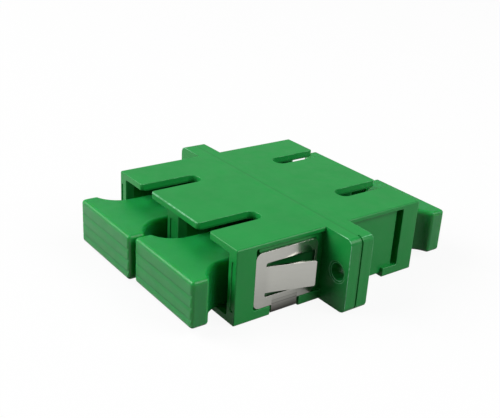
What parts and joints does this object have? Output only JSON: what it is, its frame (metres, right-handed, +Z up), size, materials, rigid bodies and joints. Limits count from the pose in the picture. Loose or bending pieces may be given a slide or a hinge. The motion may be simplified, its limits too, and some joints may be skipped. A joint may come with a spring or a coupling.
{
  "type": "fibre optic adapter",
  "caption": "Green duplex fibre adapter with a flanged body, keyed ports at both ends, a sprung steel panel clip and push-in dust plugs.",
  "frame": {"origin": "middle of the body in plan, on its bottom face; the bottom face, the ears and the strap channel's lips lie at z = 0", "axes": "+Y along the fibres from the front mouths to the back mouths, +X across the two ears, +Z up through the keyways"},
  "size_m": [0.0344, 0.0386, 0.0093],
  "materials": {
    "housing_plastic": "moulded satin",
    "holder_plastic": "moulded satin",
    "sleeve_ceramic": "ground ceramic",
    "clip_steel": "rolled strip",
    "plug_plastic": "moulded satin"
  },
  "bodies": {
    "adapter": {"housing_front": "housing_plastic", "housing_back": "housing_plastic", "sleeve_holder_front_left": "holder_plastic", "sleeve_holder_front_right": "holder_plastic", "sleeve_holder_back_left": "holder_plastic", "sleeve_holder_back_right": "holder_plastic", "split_sleeve_left": "sleeve_ceramic", "split_sleeve_right": "sleeve_ceramic", "panel_clip": "clip_steel"},
    "plug_front_left": {"dust_plug_front_left": "plug_plastic"},
    "plug_front_right": {"dust_plug_front_right": "plug_plastic"},
    "plug_back_left": {"dust_plug_back_left": "plug_plastic"},
    "plug_back_right": {"dust_plug_back_right": "plug_plastic"}
  },
  "joints": [
    {"name": "plug_front_left_pull", "type": "slide", "parent": "adapter", "child": "plug_front_left", "axis": [0, -1, 0], "range_m": [-0.00055, 0.0075]},
    {"name": "plug_front_right_pull", "type": "slide", "parent": "adapter", "child": "plug_front_right", "axis": [0, -1, 0], "range_m": [0, 0.0075]},
    {"name": "plug_back_left_pull", "type": "slide", "parent": "adapter", "child": "plug_back_left", "axis": [0, 1, 0], "range_m": [0, 0.0075]},
    {"name": "plug_back_right_pull", "type": "slide", "parent": "adapter", "child": "plug_back_right", "axis": [0, 1, 0], "range_m": [-0.00055, 0.0075]}
  ]
}
